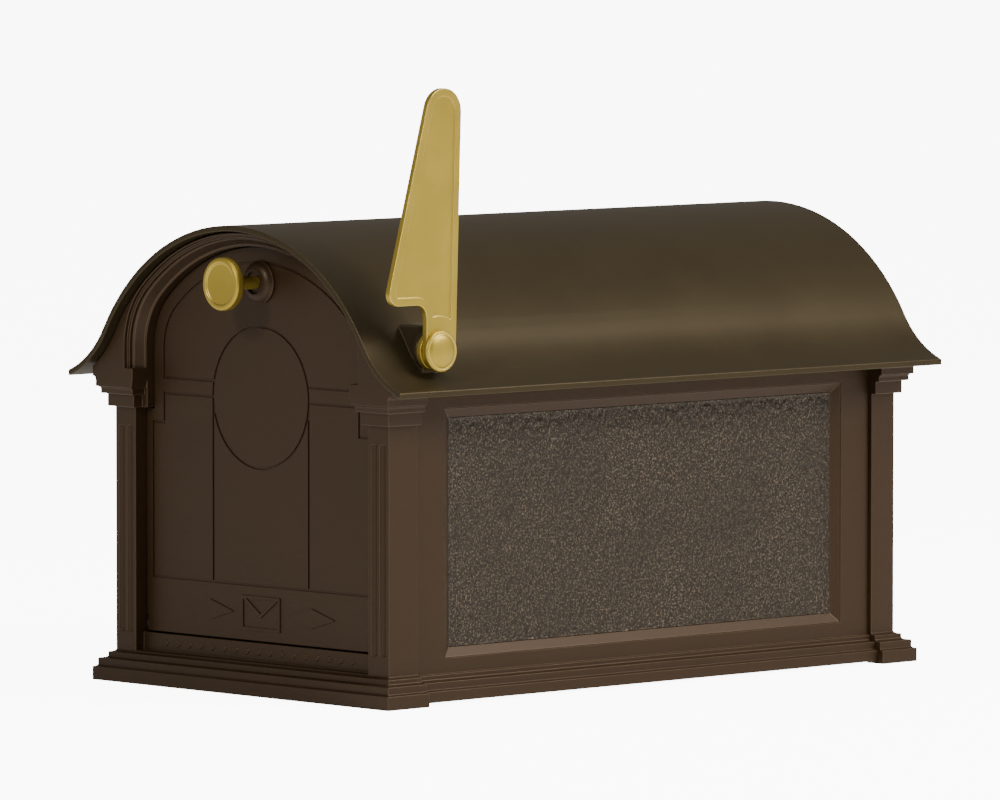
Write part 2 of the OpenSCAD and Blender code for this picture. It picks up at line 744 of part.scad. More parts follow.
module door_local() {
  back = door_y + door_t;
  difference() {
    union() {
      along_y(door_y, back) doorway(door_gap, hinge_z);
      rod_x(-barrel_x, barrel_x, hinge_y, hinge_z, barrel_r);
      block([-barrel_x, door_y, hinge_z - foot_drop], [barrel_x, hinge_y, hinge_z + 3]);
      along_y(door_y - 0.8, door_y + 1) foot_relief();
      // stiffening rib inside, open at the top for the strike
      along_y(back - 1, back + 4) intersection() {
        difference() {
          doorway(lip_w + 3, hinge_z + 22);
          doorway(lip_w + 6, hinge_z + 25);
        }
        translate([-FAR, 0]) square([2 * FAR, knob_z - 20]);
      }
      rod_y(back - 1, back + 1, 0, knob_z, 9);
    }
    along_y(door_y - 1, door_y + score_d) score_lines();
    both_sides() rod_x(barrel_x - bush_len, barrel_x + 1, hinge_y, hinge_z, bush_r);
    // notches that clear the jamb corners beside the barrel
    both_sides() block([barrel_x, door_y - 1, hinge_z - barrel_r - 1],
      [jamb_x, hinge_y + barrel_r, hinge_z + barrel_r + 1.5]);
    rod_y(door_y - 1, back + 2, 0, knob_z, stem_r + thread_gap);
    for (x = rivet_x) rod_y(back - 2, back + 1, x, strike_z, rivet_r + thread_gap);
  }
}

module door_panel() { color(bronze) translate([0, y_front, 0]) door_local(); }

// Brass knob turned from bar, with a dished face
module door_knob() {
  face = y_front + door_y - knob_reach;
  base = y_front + door_y - rosette_t;
  color(gold) translate([0, face, knob_z]) rotate([-90, 0, 0]) rotate_extrude() polygon(concat(
    [[0, 1.6], [knob_r - 4.4, 1.2], [knob_r - 3.4, 0]],
    arc([knob_r - 2, 2], 2, -90, 0, 6),
    arc([knob_r - 3, 5], 3, 0, 80, 6),
    [[knob_r * 0.5, 8.6]],
    flip(arc([10, 14], 5.4, 180, 270, 6)),
    [[4.6, base - face], [stem_r, base - face], [stem_r, base - face + 14],
      [0, base - face + 14]]));
}

module knob_rosette() {
  y = y_front + door_y - rosette_t;
  color(bronze) translate([0, y, knob_z]) rotate([-90, 0, 0]) difference() {
    rotate_extrude() polygon(concat([[0, 0], [8, 0]],
      arc([8, rosette_t], 6.6, -90, -20, 8), [[15, 3], [15, rosette_t], [0, rosette_t]]));
    translate([0, 0, -1]) cylinder(h = rosette_t + 2, r = stem_r + thread_gap);
  }
}

module knob_nut() {
  y = y_front + door_y + door_t + 1;
  color(steel) translate([0, y, knob_z]) rotate([-90, 0, 0]) difference() {
    cylinder(h = 3.6, r = 5.8, $fn = 6);
    translate([0, 0, -1]) cylinder(h = 6, r = stem_r + thread_gap);
  }
}

module strike_plate() {
  y = y_front + door_y + door_t;
  color(steel) difference() {
    block([-12, y, strike_z - 4.5], [12, y + strike_t, strike_z + 4.5]);
    for (x = rivet_x) rod_y(y - 1, y + 2, x, strike_z, rivet_r + thread_gap);
  }
}

module strike_rivets() {
  y = y_front + door_y + door_t;
  color(steel) for (x = rivet_x) {
    rod_y(y - 2, y + strike_t, x, strike_z, rivet_r);
    rod_y(y + strike_t, y + strike_t + rivet_head, x, strike_z, rivet_r + 1);
  }
}

module hinge_pin_local() {
  y = y_front + hinge_y;
  rod_x(barrel_x - bush_len + 0.5, jamb_x + wall, y, hinge_z, pin_r);
  rod_x(jamb_x + wall, jamb_x + wall + 1.6, y, hinge_z, pin_r + 1.8);
}

module hinge_pin_right() { color(steel) hinge_pin_local(); }
module hinge_pin_left() { color(steel) mirror([1, 0, 0]) hinge_pin_local(); }

module hinge_bush_local() {
  y = y_front + hinge_y;
  difference() {
    union() {
      rod_x(barrel_x - bush_len, barrel_x + EPS, y, hinge_z, bush_r);
      rod_x(barrel_x, barrel_x + thrust_t, y, hinge_z, barrel_r - 0.4);
    }
    rod_x(barrel_x - bush_len - 1, barrel_x + thrust_t + 1, y, hinge_z, pin_r + run_gap);
  }
}

module hinge_bush_right() { color(nylon) hinge_bush_local(); }
module hinge_bush_left() { color(nylon) mirror([1, 0, 0]) hinge_bush_local(); }

// ---------- Door catch ----------

module door_magnet() {
  color(black) translate([0, y_front, 0])
    block([-11, magnet_y, strike_z - 4], [11, lip_back, strike_z + 3.6]);
}

module magnet_bracket() {
  color(steel) translate([0, y_front, 0]) difference() {
    block([-14, lip_back, strike_z - 6], [14, lip_back + bracket_t, magnet_screw_z + 2.8]);
    for (x = magnet_screw_x)
      rod_y(lip_back - 1, lip_back + bracket_t + 1, x, magnet_screw_z, small_r + seat_gap);
  }
}

module magnet_screws() {
  color(steel) for (x = magnet_screw_x)
    screw_y(x, y_front + lip_back + bracket_t, magnet_screw_z, small_r, 8, -1);
}

// Rubber buttons that the closed door rests against
module door_bumpers() {
  back = door_y + door_t;
  color(black) translate([0, y_front, 0]) both_sides() {
    rod_y(back + 0.3, lip_y, jamb_x - lip_w / 2, bumper_z, 2.5);
    rod_y(lip_y - EPS, lip_back, jamb_x - lip_w / 2, bumper_z, 1.25);
  }
}

// ---------- Flag ----------

// Angle of the outward normal of the tangent to two circles
function tangent_a(c1, r1, c2, r2, side) = let (d = c2 - c1)
  atan2(d[1], d[0]) + side * acos((r1 - r2) / norm(d));

// Blade outline in (towards the rear, up) from the pivot, inset by i
function blade_outline(i) = let (
  hub = [hub_shift, 0],
  top = [5, flag_h],
  corner = [8.3 - flag_base, 40.2],
  neck = 11.3,
  notch = [-neck - 9, corner[1] - 8.3 - 9],
  right = tangent_a(hub, hub_r, top, flag_top_r, -1),
  left = tangent_a(top, flag_top_r, corner, 8.3, -1) + 360
) concat(
  arc(hub, hub_r - i, -160, right, 16),
  arc(top, flag_top_r - i, right, left, 16),
  arc(corner, 8.3 - i, left, 270, 10),
  arc(notch, 9 + i, 90, 0, 8)
);

module blade_local() {
  field = 1;
  rim = 5.5;
  difference() {
    along_x(blade_x, blade_x + blade_t) polygon(blade_outline(0));
    along_x(blade_x + blade_t - field, blade_x + blade_t + 1) difference() {
      polygon(blade_outline(rim));
      circle(r = hub_r + 10);
    }
    rod_x(blade_x - 1, blade_x + blade_t + 1, 0, 0, flag_bush_r);
  }
}

module flag_blade() { color(gold) translate([0, pivot_y, flag_z]) blade_local(); }

module flag_spacer() {
  color(gold) difference() {
    rod_x(spacer_x, blade_x, pivot_y, flag_z, hub_r - 0.8);
    rod_x(spacer_x - 1, blade_x + 1, pivot_y, flag_z, flag_bush_r);
  }
}

module flag_bush() {
  color(nylon) difference() {
    rod_x(spacer_x, blade_x + blade_t, pivot_y, flag_z, flag_bush_r);
    rod_x(spacer_x - 1, blade_x + blade_t + 1, pivot_y, flag_z, shoulder_bolt_r + run_gap);
  }
}

// Shoulder bolt with a domed brass cap
module flag_pivot_bolt() {
  shank_end = boss_in_x - bolt_tail;
  color(gold) translate([shank_end, pivot_y, flag_z]) rotate([0, 90, 0]) rotate_extrude() polygon(concat(
    [[0, 0], [3, 0], [3, boss_x - 6 - shank_end], [shoulder_bolt_r, boss_x - 6 - shank_end],
      [shoulder_bolt_r, cap_x - shank_end], [hub_r + 0.3, cap_x - shank_end]],
    arc([hub_r - 1.2, cap_x - shank_end + 1.6], 1.5, 0, 90, 5),
    [[hub_r - 2.2, cap_x - shank_end + 2.7]],
    [for (t = [1 : 6]) [(hub_r - 2.6) * cos(t * 15), cap_x - shank_end + 2.7 + 2.6 * sin(t * 15)]]));
}

module flag_wave_washer() {
  color(steel) difference() {
    rod_x(boss_x, boss_x + washer_t, pivot_y, flag_z, 9);
    rod_x(boss_x - 1, boss_x + 2, pivot_y, flag_z, shoulder_bolt_r + seat_gap);
  }
}

module flag_washer() {
  color(steel) difference() {
    rod_x(boss_in_x - 1.2, boss_in_x, pivot_y, flag_z, 6.5);
    rod_x(boss_in_x - 3, boss_in_x + 1, pivot_y, flag_z, 3 + seat_gap);
  }
}

module flag_lock_nut() {
  color(steel) difference() {
    translate([boss_in_x - 1.2 - 5, pivot_y, flag_z]) rotate([0, 90, 0]) cylinder(h = 5, r = 5.8, $fn = 6);
    rod_x(boss_in_x - 8, boss_in_x, pivot_y, flag_z, 3 + thread_gap);
  }
}

floor_plate();
floor_screws();
side_wall_right();
side_wall_left();
plaque_right();
plaque_left();
plaque_screws();
front_frame();
rear_frame();
rear_panel();
rear_panel_screws();
frame_screws();
roof_shell();
roof_screws();
hinge_pin_right();
hinge_pin_left();
hinge_bush_right();
hinge_bush_left();
door_panel();
door_knob();
knob_rosette();
knob_nut();
strike_plate();
strike_rivets();
door_magnet();
magnet_bracket();
magnet_screws();
door_bumpers();
flag_blade();
flag_spacer();
flag_bush();
flag_pivot_bolt();
flag_wave_washer();
flag_washer();
flag_lock_nut();
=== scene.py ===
"""A cast curbside mailbox: bronze powder coat, hammered side plaques, satin brass knob and flag."""

import json
import math

import bmesh
import bpy
from mathutils import Matrix, Vector
from mathutils.kdtree import KDTree


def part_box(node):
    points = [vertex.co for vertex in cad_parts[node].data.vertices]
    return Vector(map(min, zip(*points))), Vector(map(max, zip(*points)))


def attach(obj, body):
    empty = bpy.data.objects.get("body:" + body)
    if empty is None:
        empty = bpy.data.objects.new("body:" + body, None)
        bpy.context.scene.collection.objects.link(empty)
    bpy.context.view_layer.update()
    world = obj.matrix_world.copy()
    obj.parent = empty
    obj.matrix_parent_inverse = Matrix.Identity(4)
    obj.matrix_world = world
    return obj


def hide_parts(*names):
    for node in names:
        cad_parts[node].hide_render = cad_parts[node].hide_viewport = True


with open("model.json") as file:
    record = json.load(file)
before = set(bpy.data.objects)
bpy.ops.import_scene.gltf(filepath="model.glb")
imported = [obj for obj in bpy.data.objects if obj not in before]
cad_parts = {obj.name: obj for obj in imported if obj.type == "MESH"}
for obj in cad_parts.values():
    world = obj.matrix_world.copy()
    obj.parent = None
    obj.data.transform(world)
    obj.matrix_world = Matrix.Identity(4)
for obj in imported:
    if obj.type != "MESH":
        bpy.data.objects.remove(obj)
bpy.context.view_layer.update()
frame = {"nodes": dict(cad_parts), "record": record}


# ---- Camera ----
# A long lens, slightly above the box, on the corner between the door and the flag side.

CAMERA_TURN = math.radians(46.502)
CAMERA_PITCH = math.radians(-3.948)
CAMERA_DISTANCE = 6.739
CAMERA_SHIFT_SIDE = -0.00623
CAMERA_SHIFT_UP = 0.19186
CAMERA_LENS = 341.5

look = Vector((
    -math.sin(CAMERA_TURN) * math.cos(CAMERA_PITCH),
    math.cos(CAMERA_TURN) * math.cos(CAMERA_PITCH),
    math.sin(CAMERA_PITCH),
))
aside = Vector((math.cos(CAMERA_TURN), math.sin(CAMERA_TURN), 0))
upward = aside.cross(look)
lens = bpy.data.cameras.new("camera")
lens.lens = CAMERA_LENS
lens.sensor_width = 36
lens.clip_end = 200
camera = bpy.data.objects.new("camera", lens)
camera.matrix_world = Matrix((aside, upward, -look)).transposed().to_4x4()
camera.location = aside * CAMERA_SHIFT_SIDE + upward * CAMERA_SHIFT_UP - look * CAMERA_DISTANCE
bpy.context.collection.objects.link(camera)
bpy.context.scene.camera = camera


# ---- Studio ----
# A white floor that runs out of view, a big soft light on the flag side, a long one above
# that draws the sheen along the roof, and a small one high in front of the door.

FLOOR_HALF = 60
FLOOR_GLOW = (0.32, 0.31, 0.30)
FLOOR_WHITE = (9, 9, 9)
ROOM_STRENGTH = 0.24


class Wire:
    """A socket of a shader. Arithmetic on it adds Math nodes."""

    def __init__(self, tree, socket=None):
        self.tree = tree
        self.socket = socket

    def node(self, kind, settings, sockets, output=0):
        """Adds a node, its settings first, then the values or links of its sockets."""
        made = self.tree.nodes.new("ShaderNode" + kind)
        for name, value in settings.items():
            if name == "stops":
                for place, colour in value[2:]:
                    made.color_ramp.elements.new(place)
                for stop, (place, colour) in zip(made.color_ramp.elements, sorted(value)):
                    stop.position = place
                    stop.color = colour
            else:
                setattr(made, name, value)
        for name, value in sockets.items():
            if isinstance(value, Wire):
                self.tree.links.new(value.socket, made.inputs[name])
            else:
                made.inputs[name].default_value = value
        return Wire(self.tree, made.outputs[output])

    def math(self, operation, a, b):
        return self.node("Math", {"operation": operation}, {0: a, 1: b})

    def __add__(self, other):
        return self.math("ADD", self, other)

    def __radd__(self, other):
        return self.math("ADD", other, self)

    def __sub__(self, other):
        return self.math("SUBTRACT", self, other)

    def __rsub__(self, other):
        return self.math("SUBTRACT", other, self)

    def __mul__(self, other):
        return self.math("MULTIPLY", self, other)


def finish_of(name, constants):
    """A new material with its fixed sockets set: returns it, its tree and its shader."""
    material = bpy.data.materials.new(name)
    material.use_nodes = True
    shader = material.node_tree.nodes["Principled BSDF"]
    for socket, value in constants.items():
        shader.inputs[socket].default_value = value
    return material, Wire(material.node_tree), shader


def plug(wire, shader, socket):
    wire.tree.links.new(wire.socket, shader.inputs[socket])


def noise(wire, scale, detail, vector, rough=0.5):
    """Soft noise, 0 to 1, with this many features a metre."""
    return wire.node("TexNoise", {}, {"Vector": vector, "Scale": scale, "Detail": detail, "Roughness": rough})


def blend(wire, amount, dark, light):
    """A colour between two, by a 0 to 1 wire."""
    return wire.node("Mix", {"data_type": "RGBA"}, {0: amount, 6: (*dark, 1), 7: (*light, 1)}, 2)


def relief(wire, height, distance):
    return wire.node("Bump", {}, {"Height": height, "Distance": distance, "Strength": 1.0})


floor_mesh = bpy.data.meshes.new("floor")
corners = [(x * FLOOR_HALF, y * FLOOR_HALF, 0) for x, y in ((-1, -1), (1, -1), (1, 1), (-1, 1))]
floor_mesh.from_pydata(corners, [], [(0, 1, 2, 3)])
floor = bpy.data.objects.new("floor", floor_mesh)
floor_white, sweep, floor_shader = finish_of("floor_white", {
    "Base Color": (0.93, 0.93, 0.93, 1), "Roughness": 1.0, "Specular IOR Level": 0.0,
    "Emission Strength": 1.0})
seen_by_lens = sweep.node("LightPath", {}, {}, "Is Camera Ray")
plug(blend(sweep, seen_by_lens, FLOOR_GLOW, FLOOR_WHITE), floor_shader, "Emission Color")
floor_mesh.materials.append(floor_white)
bpy.context.collection.objects.link(floor)


def soft_light(name, place, aim, size, watts, tint):
    """A rectangular soft light at a place, turned towards a point."""
    lamp = bpy.data.lights.new(name, "AREA")
    lamp.shape = "RECTANGLE"
    lamp.size, lamp.size_y = size
    lamp.energy = watts
    lamp.color = tint
    holder = bpy.data.objects.new(name, lamp)
    holder.location = place
    holder.rotation_euler = (Vector(aim) - Vector(place)).to_track_quat("-Z", "Y").to_euler()
    bpy.context.collection.objects.link(holder)


soft_light("flag_side_light", (2.2, 1.3, 1.9), (0.1, 0, 0.15), (1.8, 1.0), 86, (1, 0.94, 0.86))
soft_light("roof_light", (1.0, 0.2, 2.3), (0, 0, 0.25), (0.6, 2.6), 36, (1, 0.93, 0.80))
soft_light("door_light", (0.75, -3.1, 1.95), (0, -0.2, 0.2), (0.35, 0.35), 62, (1, 0.93, 0.82))

room = bpy.data.worlds.new("room")
room.use_nodes = True
room.node_tree.nodes["Background"].inputs["Color"].default_value = (1, 0.985, 0.96, 1)
room.node_tree.nodes["Background"].inputs["Strength"].default_value = ROOM_STRENGTH
bpy.context.scene.world = room


# ---- Bronze powder coat ----
# The castings are aluminium under a satin bronze powder coat. The coat has a fine orange
# peel and a little cloudiness, and it is smoother on the arrises where hands rub it. The
# arrises are also painted lighter: partly the rubbed, thinner coat, partly a painted highlight.

COAT_DARK = (0.031, 0.0160, 0.0060)
COAT_LIGHT = (0.042, 0.0230, 0.0100)
COAT_ARRIS_RUB_HIGHLIGHT = (0.066, 0.041, 0.021)
COAT_ROUGH = 0.46
COAT_SHINE = 0.4
PEEL_SCALE = 850
PEEL_DEPTH = 0.00005


def powder_coat(name, dark, light, arris, base_rough, shine):
    material, wire, shader = finish_of(name, {"Specular IOR Level": shine})
    place = wire.node("TexCoord", {}, {}, "Object")
    cloud = noise(wire, 14, 3, place)
    grain = noise(wire, 2600, 1, place)
    peel = noise(wire, PEEL_SCALE, 1.5, place)
    edge = wire.node("Attribute", {"attribute_name": "arris"}, {}, "Fac")
    tone = blend(wire, cloud * 0.7 + grain * 0.3, dark, light)
    # Bevel faces painted lighter: partly rubbed coat, partly a painted highlight on the arrises.
    rub_and_highlight = edge * (0.55 + cloud * 0.5)
    rubbed_and_highlit = wire.node("Mix", {"data_type": "RGBA"}, {0: rub_and_highlight, 6: tone, 7: (*arris, 1)}, 2)
    plug(rubbed_and_highlit, shader, "Base Color")
    plug(base_rough + (cloud - 0.5) * 0.10 + (grain - 0.5) * 0.12 - edge * 0.08, shader, "Roughness")
    plug(0.35 + grain * 0.2, shader, "Metallic")
    plug(relief(wire, peel + grain * 0.35, PEEL_DEPTH), shader, "Normal")
    return material


bronze_coat = powder_coat("bronze_coat", COAT_DARK, COAT_LIGHT, COAT_ARRIS_RUB_HIGHLIGHT, COAT_ROUGH, COAT_SHINE)


# ---- Castings ----
# Sand castings leave no knife edge, so arrises are eased by about half a millimetre, and by
# less where two run close together. The door's stay sharp, for the reason given there.

ARRIS = 0.0005
ARRIS_ANGLE = 28
ARRIS_SAMPLE = 0.001
BEVEL_ROOM = 2.4
MOSTLY_ALONG = 0.6
WELD = 2e-6


def welded(node):
    """A copy of a CAD node's faces as one bmesh, welded, with its flats whole again."""
    source = frame["nodes"][node].data
    plain = bpy.data.meshes.new(node)
    plain.from_pydata([v.co[:] for v in source.vertices], [], [p.vertices[:] for p in source.polygons])
    shell = bmesh.new()
    shell.from_mesh(plain)
    bpy.data.meshes.remove(plain)
    bmesh.ops.remove_doubles(shell, verts=shell.verts, dist=WELD)
    bmesh.ops.dissolve_degenerate(shell, edges=shell.edges, dist=1e-6)
    bmesh.ops.dissolve_limit(shell, angle_limit=math.radians(0.4), verts=shell.verts, edges=shell.edges)
    bmesh.ops.connect_verts_concave(shell, faces=shell.faces)
    return shell


def weigh_arrises(shell, width, angle):
    """Gives each sharp edge the share of the width that the nearest edge beside it leaves room for."""
    weight = shell.edges.layers.float.new("bevel_weight_edge")
    reach = BEVEL_ROOM * width
    marks = []
    for edge in shell.edges:
        if edge.is_manifold and edge.calc_face_angle() > angle:
            start, end = (v.co for v in edge.verts)
            steps = max(1, math.ceil(edge.calc_length() / ARRIS_SAMPLE))
            marks += [(start.lerp(end, (k + 0.5) / steps), edge) for k in range(steps)]
            edge[weight] = 1.0
    tree = KDTree(len(marks))
    for number, (spot, _) in enumerate(marks):
        tree.insert(spot, number)
    tree.balance()
    for spot, edge in marks:
        line = (edge.verts[1].co - edge.verts[0].co).normalized()
        for other_spot, number, gap in tree.find_range(spot, reach):
            other = marks[number][1]
            if other is edge or set(other.verts) & set(edge.verts):
                continue
            if abs((other_spot - spot).dot(line)) < MOSTLY_ALONG * gap:
                edge[weight] = min(edge[weight], gap / reach)


def ease(piece, width, segments):
    """Rounds the weighed arrises of a piece and notes them in the attribute that the coat reads."""
    bevel = piece.modifiers.new("arrises", "BEVEL")
    bevel.width = width
    bevel.segments = segments
    bevel.limit_method = "WEIGHT"
    bevel.use_clamp_overlap = False
    bevel.loop_slide = False
    bevel.miter_outer = "MITER_ARC"
    bevel.material = 1
    piece.data.materials.append(None)
    piece.data.materials.append(None)
    piece.modifiers.new("flats", "WEIGHTED_NORMAL")
    bake(piece)
    eased = piece.data.attributes.new("arris", "FLOAT", "FACE")
    eased.data.foreach_set("value", [float(p.material_index == 1) for p in piece.data.polygons])


def bake(piece):
    """Replaces a piece's mesh by what its modifiers make of it."""
    seen = piece.evaluated_get(bpy.context.evaluated_depsgraph_get())
    done = bpy.data.meshes.new_from_object(seen)
    piece.modifiers.clear()
    old = piece.data
    piece.data = done
    bpy.data.meshes.remove(old)


def body_of_node(node):
    for body, nodes in frame["record"]["behaviour"]["bodies"].items():
        if node in nodes:
            return body


def slot_of_node(node):
    for entry in frame["record"]["subparts"]:
        if entry["node"] == node:
            return entry["material_slot"]


def place(shell, name, material, *nodes, eased=0.0, segments=2, angle=ARRIS_ANGLE):
    """Makes a piece of a bmesh, which stands for the CAD nodes and rides on their body."""
    if eased:
        weigh_arrises(shell, eased, math.radians(angle))
    mesh = bpy.data.meshes.new(name)
    shell.to_mesh(mesh)
    shell.free()
    piece = bpy.data.objects.new(name, mesh)
    bpy.context.collection.objects.link(piece)
    for polygon in mesh.polygons:
        polygon.use_smooth = True
    if eased:
        ease(piece, eased, segments)
    else:
        mesh.set_sharp_from_angle(angle=math.radians(angle))
    for polygon in piece.data.polygons:
        polygon.material_index = 0
    piece.data.materials.clear()
    piece.data.materials.append(material)
    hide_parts(*nodes)
    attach(piece, body_of_node(nodes[0]))
    slot_of_node(nodes[0])
    return piece


def casting(node, material=bronze_coat, eased=ARRIS, segments=2):
    """A finished copy of one CAD node."""
    return place(welded(node), node + "_piece", material, node, eased=eased, segments=segments)


# ---- Floor plate ----
# A ribbed casting with four bosses for the post bolts and four drain holes. It is screwed
# to the side walls through its two hanging flanges.

casting("floor_plate")


# ---- Side walls ----
# Each wall is one casting with a moulded foot and a bevelled pocket for its plaque. Two
# tongues lap inside the frames, and three pads take the roof's screws.

for wall in ("side_wall_right", "side_wall_left"):
    casting(wall)


# ---- Side plaques ----
# A thin cast insert with a hammered face, laid in the wall's pocket and screwed from behind.
# The face is a fine sheet of short, irregular dents, which die out at its edges.

PLAQUE_PITCH = 0.0010
DENT_DEPTH = 0.0007
DENT_SCALE = 300
DENT_STRETCH = (1, 1, 0.62)
WARP_SCALE = 170.0
WARP_SHIFT = (0.006, 0.006, 0.006)
DENT_FLOOR = 0.34
DENT_CREST = 0.66
FADE_CELLS = 2.0
PLAQUE_SHARP_ANGLE = 75
SEAM_WELD = 2e-5
HAMMERED_DARK = (0.016, 0.0106, 0.0056)
HAMMERED_LIGHT = (0.180, 0.138, 0.098)


def node_tree_of(name, sizes):
    """A Geometry Nodes tree with one float input for each size, and its first nodes."""
    tree = bpy.data.node_groups.new(name, "GeometryNodeTree")
    tree.interface.new_socket("Geometry", in_out="INPUT", socket_type="NodeSocketGeometry")
    for size in sizes:
        tree.interface.new_socket(size, in_out="INPUT", socket_type="NodeSocketFloat")
    tree.interface.new_socket("Geometry", in_out="OUTPUT", socket_type="NodeSocketGeometry")
    return tree, tree.nodes.new("NodeGroupInput"), tree.nodes.new("NodeGroupOutput")


def add(tree, kind, settings, sockets):
    """Adds a geometry node, its settings first, then the values or links of its sockets."""
    made = tree.nodes.new(kind)
    for name, value in settings.items():
        setattr(made, name, value)
    for name, value in sockets.items():
        if isinstance(value, bpy.types.NodeSocket):
            tree.links.new(value, made.inputs[name])
        else:
            made.inputs[name].default_value = value
    return made


def grown(name, tree, sizes, mesh):
    """The plain mesh that a tree makes of a mesh, with these values for its named inputs."""
    holder = bpy.data.objects.new(name, mesh)
    bpy.context.collection.objects.link(holder)
    modifier = holder.modifiers.new(name, "NODES")
    modifier.node_group = tree
    for item in tree.interface.items_tree:
        if item.item_type == "SOCKET" and item.in_out == "INPUT" and item.name in sizes:
            modifier[item.identifier] = sizes[item.name]
    bake(holder)
    return holder


def hammered_tree(material):
    """Pushes a flat sheet in along X by the dents, fading to nothing at its border."""
    tree, given, out = node_tree_of("hammered_face", ["Depth", "Dents a metre"])
    place_of = add(tree, "GeometryNodeInputPosition", {}, {}).outputs[0]
    long_dents = add(tree, "ShaderNodeVectorMath", {"operation": "MULTIPLY"},
                     {0: place_of, 1: DENT_STRETCH}).outputs[0]
    warp = add(tree, "ShaderNodeTexNoise", {"noise_dimensions": "3D"},
               {"Vector": long_dents, "Scale": WARP_SCALE, "Detail": 1.0})
    bent = add(tree, "ShaderNodeVectorMath", {"operation": "MULTIPLY_ADD"},
               {0: warp.outputs["Color"], 1: WARP_SHIFT, 2: long_dents}).outputs[0]
    dents = add(tree, "ShaderNodeTexNoise", {"noise_dimensions": "3D"},
                {"Vector": bent, "Scale": given.outputs["Dents a metre"], "Detail": 1.5, "Roughness": 0.55})
    sharp = add(tree, "ShaderNodeMapRange", {"interpolation_type": "SMOOTHSTEP"},
                {"Value": dents.outputs[0], "From Min": DENT_FLOOR, "From Max": DENT_CREST,
                 "To Min": 0.0, "To Max": 1.0})
    fade = add(tree, "GeometryNodeInputNamedAttribute", {"data_type": "FLOAT"}, {"Name": "fade"}).outputs[0]
    kept = add(tree, "ShaderNodeMath", {"operation": "MULTIPLY"}, {0: sharp.outputs[0], 1: fade}).outputs[0]
    deep = add(tree, "ShaderNodeMath", {"operation": "MULTIPLY"},
               {0: kept, 1: given.outputs["Depth"]}).outputs[0]
    push = add(tree, "ShaderNodeCombineXYZ", {}, {"X": deep}).outputs[0]
    moved = add(tree, "GeometryNodeSetPosition", {}, {"Geometry": given.outputs["Geometry"], "Offset": push})
    real = add(tree, "GeometryNodeRealizeInstances", {}, {"Geometry": moved.outputs[0]})
    dressed = add(tree, "GeometryNodeSetMaterial", {}, {"Geometry": real.outputs[0], "Material": material})
    tree.links.new(dressed.outputs[0], out.inputs[0])
    return tree


def hammered_coat():
    material, wire, shader = finish_of("hammered_bronze", {"Specular IOR Level": 0.5})
    spot = wire.node("TexCoord", {}, {}, "Object")
    speck = noise(wire, 690, 2, spot, 0.6)
    patch = noise(wire, 16, 2, spot)
    fine = noise(wire, 2200, 1, spot)
    flecks = wire.node("ValToRGB", {"stops": [(0.53, (0, 0, 0, 1)), (0.63, (1, 1, 1, 1))]}, {"Fac": speck})
    # Lighter flecks where the fine bump is high, more of them in patches.
    flecked = flecks * (0.15 + patch * 0.9)
    plug(blend(wire, flecked, HAMMERED_DARK, HAMMERED_LIGHT), shader, "Base Color")
    plug(0.40 - flecked * 0.10 + fine * 0.08, shader, "Roughness")
    plug(0.35 + flecked * 0.3, shader, "Metallic")
    plug(relief(wire, speck + fine * 0.4, 0.0002), shader, "Normal")
    return material


hammered_bronze = hammered_coat()
hammered_face = hammered_tree(hammered_bronze)


def hammered_plaque(node, outward):
    """The CAD plaque with its outer face cut out and a hammered sheet sewn in."""
    low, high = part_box(node)
    face_x = high[0] if outward > 0 else low[0]
    shell = welded(node)
    face = [f for f in shell.faces
            if f.normal.x * outward > 0.9 and abs(f.calc_center_median().x - face_x) < 1e-5]
    rim = {e for f in face for e in f.edges}
    rows = round((high[1] - low[1]) / PLAQUE_PITCH)
    lines = round((high[2] - low[2]) / PLAQUE_PITCH)
    bmesh.ops.delete(shell, geom=face, context="FACES_ONLY")
    for edge in rim:
        along = abs((edge.verts[1].co - edge.verts[0].co).y) > 1e-4
        bmesh.ops.subdivide_edges(shell, edges=[edge], cuts=(rows if along else lines) - 1)
    sheet = bpy.data.meshes.new(node + "_sheet")
    points = [(face_x, low[1] + (high[1] - low[1]) * i / rows, low[2] + (high[2] - low[2]) * j / lines)
              for j in range(lines + 1) for i in range(rows + 1)]
    across = rows + 1
    cells = [(j * across + i, j * across + i + 1, (j + 1) * across + i + 1, (j + 1) * across + i)
             for j in range(lines) for i in range(rows)]
    sheet.from_pydata(points, [], cells if outward > 0 else [c[::-1] for c in cells])
    fade = sheet.attributes.new("fade", "FLOAT", "POINT")
    fade.data.foreach_set("value", [
        min(1, min(i, rows - i, j, lines - j) / FADE_CELLS) for j in range(lines + 1) for i in range(across)])
    sizes = {"Depth": -outward * DENT_DEPTH, "Dents a metre": DENT_SCALE}
    dented = grown(node + "_face", hammered_face, sizes, sheet)
    shell.from_mesh(dented.data)
    bpy.data.objects.remove(dented)
    bmesh.ops.remove_doubles(shell, verts=shell.verts, dist=SEAM_WELD)
    return place(shell, node + "_piece", hammered_bronze, node, angle=PLAQUE_SHARP_ANGLE)


hammered_plaque("plaque_right", 1)
hammered_plaque("plaque_left", -1)


# ---- Front frame ----
# One casting: plinth, two fluted pilasters with capitals, splayed arch and door sill. The
# pearls on the sill are cast with it.

casting("front_frame")


# ---- Rear frame and panel ----
# The rear frame is cast from the same pattern as the front one, and a dished panel with two
# raised steps closes it. The panel is screwed on from inside.

casting("rear_frame")
casting("rear_panel")


# ---- Roof ----
# A barrel with two flared eaves in one casting, screwed down through six lugs. Its coat is
# a shade more olive and smoother. The boss of the flag has a fillet at its foot.

ROOF_DARK = (0.034, 0.0250, 0.0125)
ROOF_LIGHT = (0.051, 0.0395, 0.0200)
# Arris colour: rubbed coat and a painted highlight.
ROOF_ARRIS_RUB_HIGHLIGHT = (0.062, 0.048, 0.026)
ROOF_ROUGH = 0.42
ROOF_SHINE = 0.15
ROOF_EASE = 0.0007

